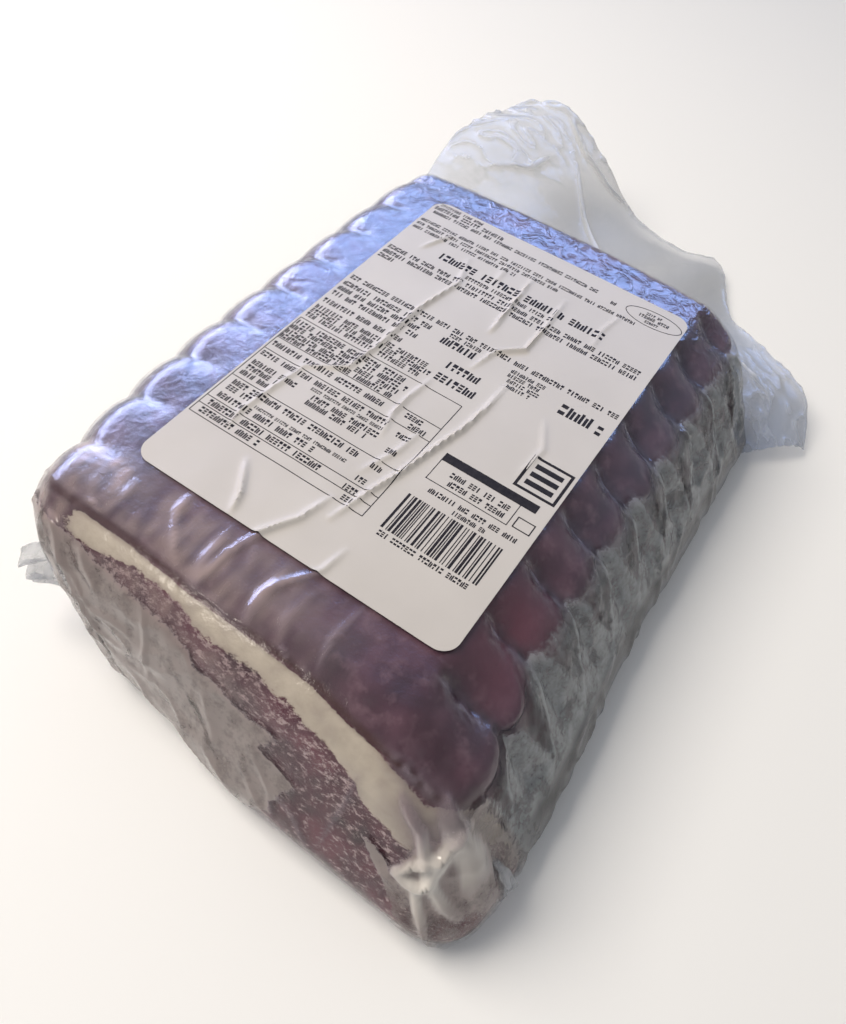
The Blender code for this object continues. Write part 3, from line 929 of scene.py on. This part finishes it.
# %% [markdown]
# The label is thermal paper, 100 by 150 mm with round corners. It is a thin closed slab on its own even
# grid, fine enough for the shared creases to stay sharp. A square corner of the grid is turned round by
# giving each point there the distance from the corner's middle that it had to the nearer edge.

# %% Paper label
LABEL_SIZE = (0.100, 0.150)
LABEL_CORNER = 0.005
PAPER_THICKNESS = 0.16 * MM
PAPER_GRID = (158, 237, 2)
# The gap under the paper in mm, its creases against the shared lines, and its swell in mm
PAPER_GAP = 0.30
PAPER_CREASE_SHARE = 1.6
PAPER_PINCH = 1.25
WIDE_SWELL, NARROW_SWELL = 0.22, 0.10


def paper_height(x, y):
    """The height of the paper's underside above the floor, in mm."""
    flat = np.stack((x, y, 0.0 * x), 1) * MM
    swell = WIDE_SWELL * grainy(flat, 34.0, 20)
    swell += NARROW_SWELL * (1.0 + grainy(flat, 9.0, 21, (1.0, 2.2, 1.0)))
    creased = PAPER_CREASE_SHARE * crease_height(x, y, LABEL_CREASES, PAPER_PINCH)
    return TOP_Z + PAPER_GAP + creased + swell


paper = grow("label_paper", box_tree, Size=(*LABEL_SIZE, PAPER_THICKNESS),
             **dict(zip(("Across", "Along", "Up"), PAPER_GRID)))
flat = places(paper.data)
past_corner = np.clip(np.abs(flat[:, :2]) - np.array(LABEL_SIZE) / 2 + LABEL_CORNER, 0.0, None)
roundness = past_corner.max(1) / np.maximum(np.linalg.norm(past_corner, axis=1), 1e-9)
flat[:, :2] -= np.sign(flat[:, :2]) * past_corner * (1.0 - roundness[:, None])
flat[:, :2] += LABEL_MIDDLE * MM
flat[:, 2] += PAPER_THICKNESS / 2 + paper_height(*(flat[:, :2] / MM).T) * MM
move_points(paper.data, flat)

# %% Thermal paper
PAPER_EDGE_ANGLE = math.radians(50)

thermal_paper, tree, place = new_material("thermal_label_paper")
pulp, stain = cloudy(tree, place, 0.5, 3.0), cloudy(tree, place, 28.0, 3.0)
white = mix(tree, stain, "#c9c4bf", "#b9b4af")
tooth = add(tree, "ShaderNodeBump", {"Height": pulp, "Strength": 0.12, "Distance": 0.1 * MM})
paper_shader = add(tree, "ShaderNodeBsdfPrincipled", {
    "Base Color": white, "Roughness": 0.5, "Specular IOR Level": 0.15, "Normal": tooth.outputs[0]})
add(tree, "ShaderNodeOutputMaterial", {"Surface": paper_shader.outputs[0]})
paper.data.materials.clear()
paper.data.materials.append(thermal_paper)
paper.data.shade_smooth()
paper.data.set_sharp_from_angle(angle=PAPER_EDGE_ANGLE)

# %% [markdown]
# The print is thermal black. Its words are left out: each line is a row of small plain strokes, with the
# sizes and places of the real lines, a ruled table, a bar pattern and an oval. Every mark is a thin box. A
# Geometry Nodes tree puts one on each point of a layout, gives it the size and turn kept at that point, and
# lays every corner on the paper by casting a ray down, so the print follows the creases.

# %% Layout of the print
# Rows of small strokes: start and end across the label, place along it, and height, all in mm
SMALL_ROWS = (
    (2, 20, 148, 1.5), (1, 31, 145.6, 2), (2, 70, 142.9, 1.7), (74, 77, 141.2, 1.7),
    (1, 86, 136.6, 1.6), (1, 58, 134, 1.6), (1, 43, 131.4, 1.6),
    (30, 64, 119.6, 1.8), (1, 97, 116.4, 2), (1, 97, 113.4, 2), (1, 8, 110.6, 2),
    (1, 99, 95.2, 2), (41, 53, 92.6, 1.7), (1, 35, 91.4, 2.1), (1, 34, 88.3, 2.1), (1, 34, 85.2, 2.1),
    (1, 31, 80.6, 2.1), (1, 45, 76.7, 2), (1, 46, 74.3, 2), (1, 44, 71.9, 2),
    (1, 42, 67.2, 2.1), (1, 45, 64.6, 2.1), (1, 43, 62, 2.1), (1, 42, 59.6, 2),
    (1.5, 43, 55.4, 2.1), (49, 55, 56.4, 1.9), (52, 59, 53.6, 1.9),
    (1.5, 48, 50.2, 2), (51, 56, 48.8, 1.9), (22, 48, 47.6, 1.2),
    (2, 19, 45.6, 2), (24, 48, 45, 2), (2, 14, 43, 2), (24, 46, 42.6, 2), (52, 56, 42.4, 1.9),
    (2, 12, 40.4, 2), (3, 48, 36, 2.1), (52, 56, 35.4, 1.9), (3, 12, 33.4, 2),
    (14, 46, 32.2, 1.2), (3, 38, 29.8, 2.1), (51, 55, 29.6, 1.9),
    (3, 43, 25.9, 2.1), (50, 55, 25.4, 1.9), (3, 24, 22.4, 2.1), (52, 56, 22.2, 1.9),
    (64, 76, 91.6, 1.6), (64, 75, 89.5, 1.6), (65, 76, 87.3, 1.6), (66, 74, 85.1, 1.6),
    (69, 97, 38.2, 1.7), (78, 89, 35.7, 1.5), (66, 94, 18.9, 1.7),
    (86, 92, 144.2, 1.3), (84, 95, 142.3, 1.6), (87, 92, 140.2, 1.3),
)
BOLD_ROWS = (
    (17, 82, 123.6, 3.4), (40, 54, 89.4, 3.3), (47, 59, 81.2, 3.2), (47, 61, 75.2, 3.2),
    (83, 94, 87.6, 4.4), (95.5, 99.4, 86.8, 3.8), (71, 91, 46.1, 1.9), (72, 90, 43.2, 1.9),
)
# Each stroke of a letter's cell: its left and right side and its foot and top, as shares of the cell
STROKES = (
    ((0.04, 0.38, 0, 1), (0.5, 0.84, 0, 0.82)),
    ((0.04, 0.8, 0.76, 1), (0.04, 0.8, 0.38, 0.62), (0.04, 0.8, 0, 0.24)),
    ((0.04, 0.38, 0, 0.8), (0.5, 0.84, 0, 1)),
    ((0.04, 0.8, 0.66, 1), (0.04, 0.8, 0, 0.34)),
    ((0.04, 0.8, 0.55, 1), (0.25, 0.6, 0, 0.4)),
    ((0.25, 0.6, 0, 1),),
)
RULE_WIDTH = 0.26
CELL = 1.2
TABLE_RULES = (69.4, 58.2, 52.2, 38.0, 27.6, 24.2, 20.3)
TABLE_SIDES = ((0.8, 20.3, 69.4), (60.0, 20.3, 69.4))
# Left, right, foot and top of the bar pattern, and the widths that its bars and gaps are drawn from
BARS = (65.5, 95.5, 20.6, 34.0)
BAR_WIDTHS, GAP_WIDTHS = (0.28, 0.28, 0.5, 0.75), (0.3, 0.3, 0.5, 0.8)
# Left, right, foot and top of each box, with a line width for the outlined ones
BOXES = ((66, 91.6, 41, 52, RULE_WIDTH), (86, 99, 54, 67, 0.9),
         (92.8, 98.2, 41.6, 45.6, 0.35))
FILLED = ((66, 96, 49, 52), (88.2, 96.8, 56.4, 58.2), (88.2, 96.8, 59.6, 61.4),
          (88.2, 96.8, 62.8, 64.6))
# Middle, half width and half height of the oval, and its number of short lines, each a little too long
OVAL = (89.3, 142.4, 10.0, 4.0)
OVAL_LINES = 56
OVAL_OVERLAP = 1.15
LETTER_WIDTH = 0.62

draw = np.random.default_rng(7)
marks = []


def stroke(left, right, foot, top):
    """A filled rectangle in cells short enough to follow the creases."""
    columns, rows = max(1, math.ceil((right - left) / CELL)), max(1, math.ceil((top - foot) / CELL))
    wide, tall = (right - left) / columns, (top - foot) / rows
    for i in range(columns):
        for j in range(rows):
            marks.append((left + (i + 0.5) * wide, foot + (j + 0.5) * tall, wide, tall, 0.0))


def letter_row(start, end, middle, height):
    """A row of letter-sized cells of plain strokes, with gaps as between words."""
    pitch = LETTER_WIDTH * height
    at_x = start
    word = draw.integers(3, 10)
    while at_x + pitch <= end + 0.01:
        if word == 0:
            word = draw.integers(3, 10)
        else:
            word -= 1
            for left, right, foot, top in STROKES[draw.integers(len(STROKES))]:
                stroke(at_x + left * pitch, at_x + right * pitch,
                       middle + (foot - 0.5) * height, middle + (top - 0.5) * height)
        at_x += pitch


def outlined(left, right, foot, top, width):
    """Four thin strokes round a box."""
    for a, b, c, d in ((left, right, foot, foot + width), (left, right, top - width, top),
                       (left, left + width, foot, top), (right - width, right, foot, top)):
        stroke(a, b, c, d)


for row in SMALL_ROWS + BOLD_ROWS:
    letter_row(*row)
for height in TABLE_RULES:
    stroke(TABLE_SIDES[0][0], TABLE_SIDES[1][0], height - RULE_WIDTH / 2, height + RULE_WIDTH / 2)
for side, foot, top in TABLE_SIDES:
    stroke(side - RULE_WIDTH / 2, side + RULE_WIDTH / 2, foot, top)
bar_at = BARS[0]
while bar_at < BARS[1]:
    bar_width = draw.choice(BAR_WIDTHS)
    stroke(bar_at, min(bar_at + bar_width, BARS[1]), *BARS[2:])
    bar_at += bar_width + draw.choice(GAP_WIDTHS)
for box in BOXES:
    outlined(*box)
for box in FILLED:
    stroke(*box)
oval_u, oval_v, oval_across, oval_up = OVAL
for k in range(OVAL_LINES):
    step = 2 * math.pi / OVAL_LINES
    turn = k * step
    run = Vector((-oval_across * math.sin(turn), oval_up * math.cos(turn)))
    marks.append((oval_u + oval_across * math.cos(turn), oval_v + oval_up * math.sin(turn),
                  run.length * step * OVAL_OVERLAP, RULE_WIDTH, math.atan2(run.y, run.x)))
print("the print has", len(marks), "marks")

# %% The tree that lays the marks on the paper
INK = 0.035 * MM
RAY_START = 2.0 * HEIGHT

ink_tree, ink_in, ink_out = start_tree("print_on_paper", Ink=INK, Finish=thermal_paper, Paper=paper)
unit = add(ink_tree, "GeometryNodeMeshCube", {
    "Size": (1.0, 1.0, 1.0), "Vertices X": 2, "Vertices Y": 2, "Vertices Z": 2})
size = add(ink_tree, "GeometryNodeInputNamedAttribute", {"Name": "size"}, data_type="FLOAT_VECTOR")
turned = add(ink_tree, "GeometryNodeInputNamedAttribute", {"Name": "turn"}, data_type="FLOAT_VECTOR")
laid = add(ink_tree, "GeometryNodeInstanceOnPoints", {
    "Points": ink_in.outputs["Geometry"], "Instance": unit.outputs["Mesh"],
    "Rotation": turned.outputs[0], "Scale": size.outputs[0]})
real = add(ink_tree, "GeometryNodeRealizeInstances", {"Geometry": laid.outputs[0]})
here = add(ink_tree, "GeometryNodeInputPosition")
parts = add(ink_tree, "ShaderNodeSeparateXYZ", {0: here.outputs[0]})
above = add(ink_tree, "ShaderNodeCombineXYZ", {
    "X": parts.outputs["X"], "Y": parts.outputs["Y"], "Z": RAY_START})
sheet_shape = add(ink_tree, "GeometryNodeObjectInfo", {
    "Object": ink_in.outputs["Paper"]}, transform_space="RELATIVE")
cast = add(ink_tree, "GeometryNodeRaycast", {
    "Target Geometry": sheet_shape.outputs["Geometry"], "Source Position": above.outputs[0],
    "Ray Direction": (0.0, 0.0, -1.0), "Ray Length": 1.0})
proud = sums(ink_tree, "MULTIPLY", parts.outputs["Z"], ink_in.outputs["Ink"])
raised = add(ink_tree, "ShaderNodeCombineXYZ", {"Z": proud})
landed = add(ink_tree, "ShaderNodeVectorMath", {
    0: cast.outputs["Hit Position"], 1: raised.outputs[0]}, operation="ADD")
settled = add(ink_tree, "GeometryNodeSetPosition", {
    "Geometry": real.outputs[0], "Selection": cast.outputs["Is Hit"], "Position": landed.outputs[0]})
inked = add(ink_tree, "GeometryNodeSetMaterial", {
    "Geometry": settled.outputs[0], "Material": ink_in.outputs["Finish"]})
ink_tree.links.new(inked.outputs[0], ink_out.inputs["Geometry"])

# %% Ink and print
thermal_black, tree, place = new_material("thermal_print_black")
black = mix(tree, cloudy(tree, place, 1.2, 2.0), "#151314", "#383436")
ink_shader = add(tree, "ShaderNodeBsdfPrincipled", {
    "Base Color": black, "Roughness": 0.7, "Specular IOR Level": 0.05})
add(tree, "ShaderNodeOutputMaterial", {"Surface": ink_shader.outputs[0]})

layout = bpy.data.meshes.new("print_layout")
table = np.array(marks)
spots = np.zeros((len(table), 3))
spots[:, :2] = (table[:, :2] - LABEL_HALF + LABEL_MIDDLE) * MM
layout.from_pydata(spots.tolist(), [], [])
for name, columns in (("size", (table[:, 2] * MM, table[:, 3] * MM, np.full(len(table), 2.0))),
                      ("turn", (0 * table[:, 4], 0 * table[:, 4], table[:, 4]))):
    layer = layout.attributes.new(name, "FLOAT_VECTOR", "POINT")
    layer.data.foreach_set("vector", np.stack(columns, 1).astype(np.float32).ravel())
label_print = grow("label_print", ink_tree, layout, Ink=INK, Finish=thermal_black, Paper=paper)

# %% Every piece rides on the pack's one body
for piece, node, finish in (
        (beef, "vacuum_pack", "beef_in_film"), (film, "vacuum_pack", "beef_in_film"),
        (tail, "vacuum_pack", "beef_in_film"), (ears[0], "vacuum_pack", "beef_in_film"),
        (ears[1], "vacuum_pack", "beef_in_film"), (paper, "label", "label_paper"),
        (label_print, "label", "label_paper")):
    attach(piece, "root")
    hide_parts(node)
    print(piece.name, "has", sum(len(p.vertices) - 2 for p in piece.data.polygons), "triangles")
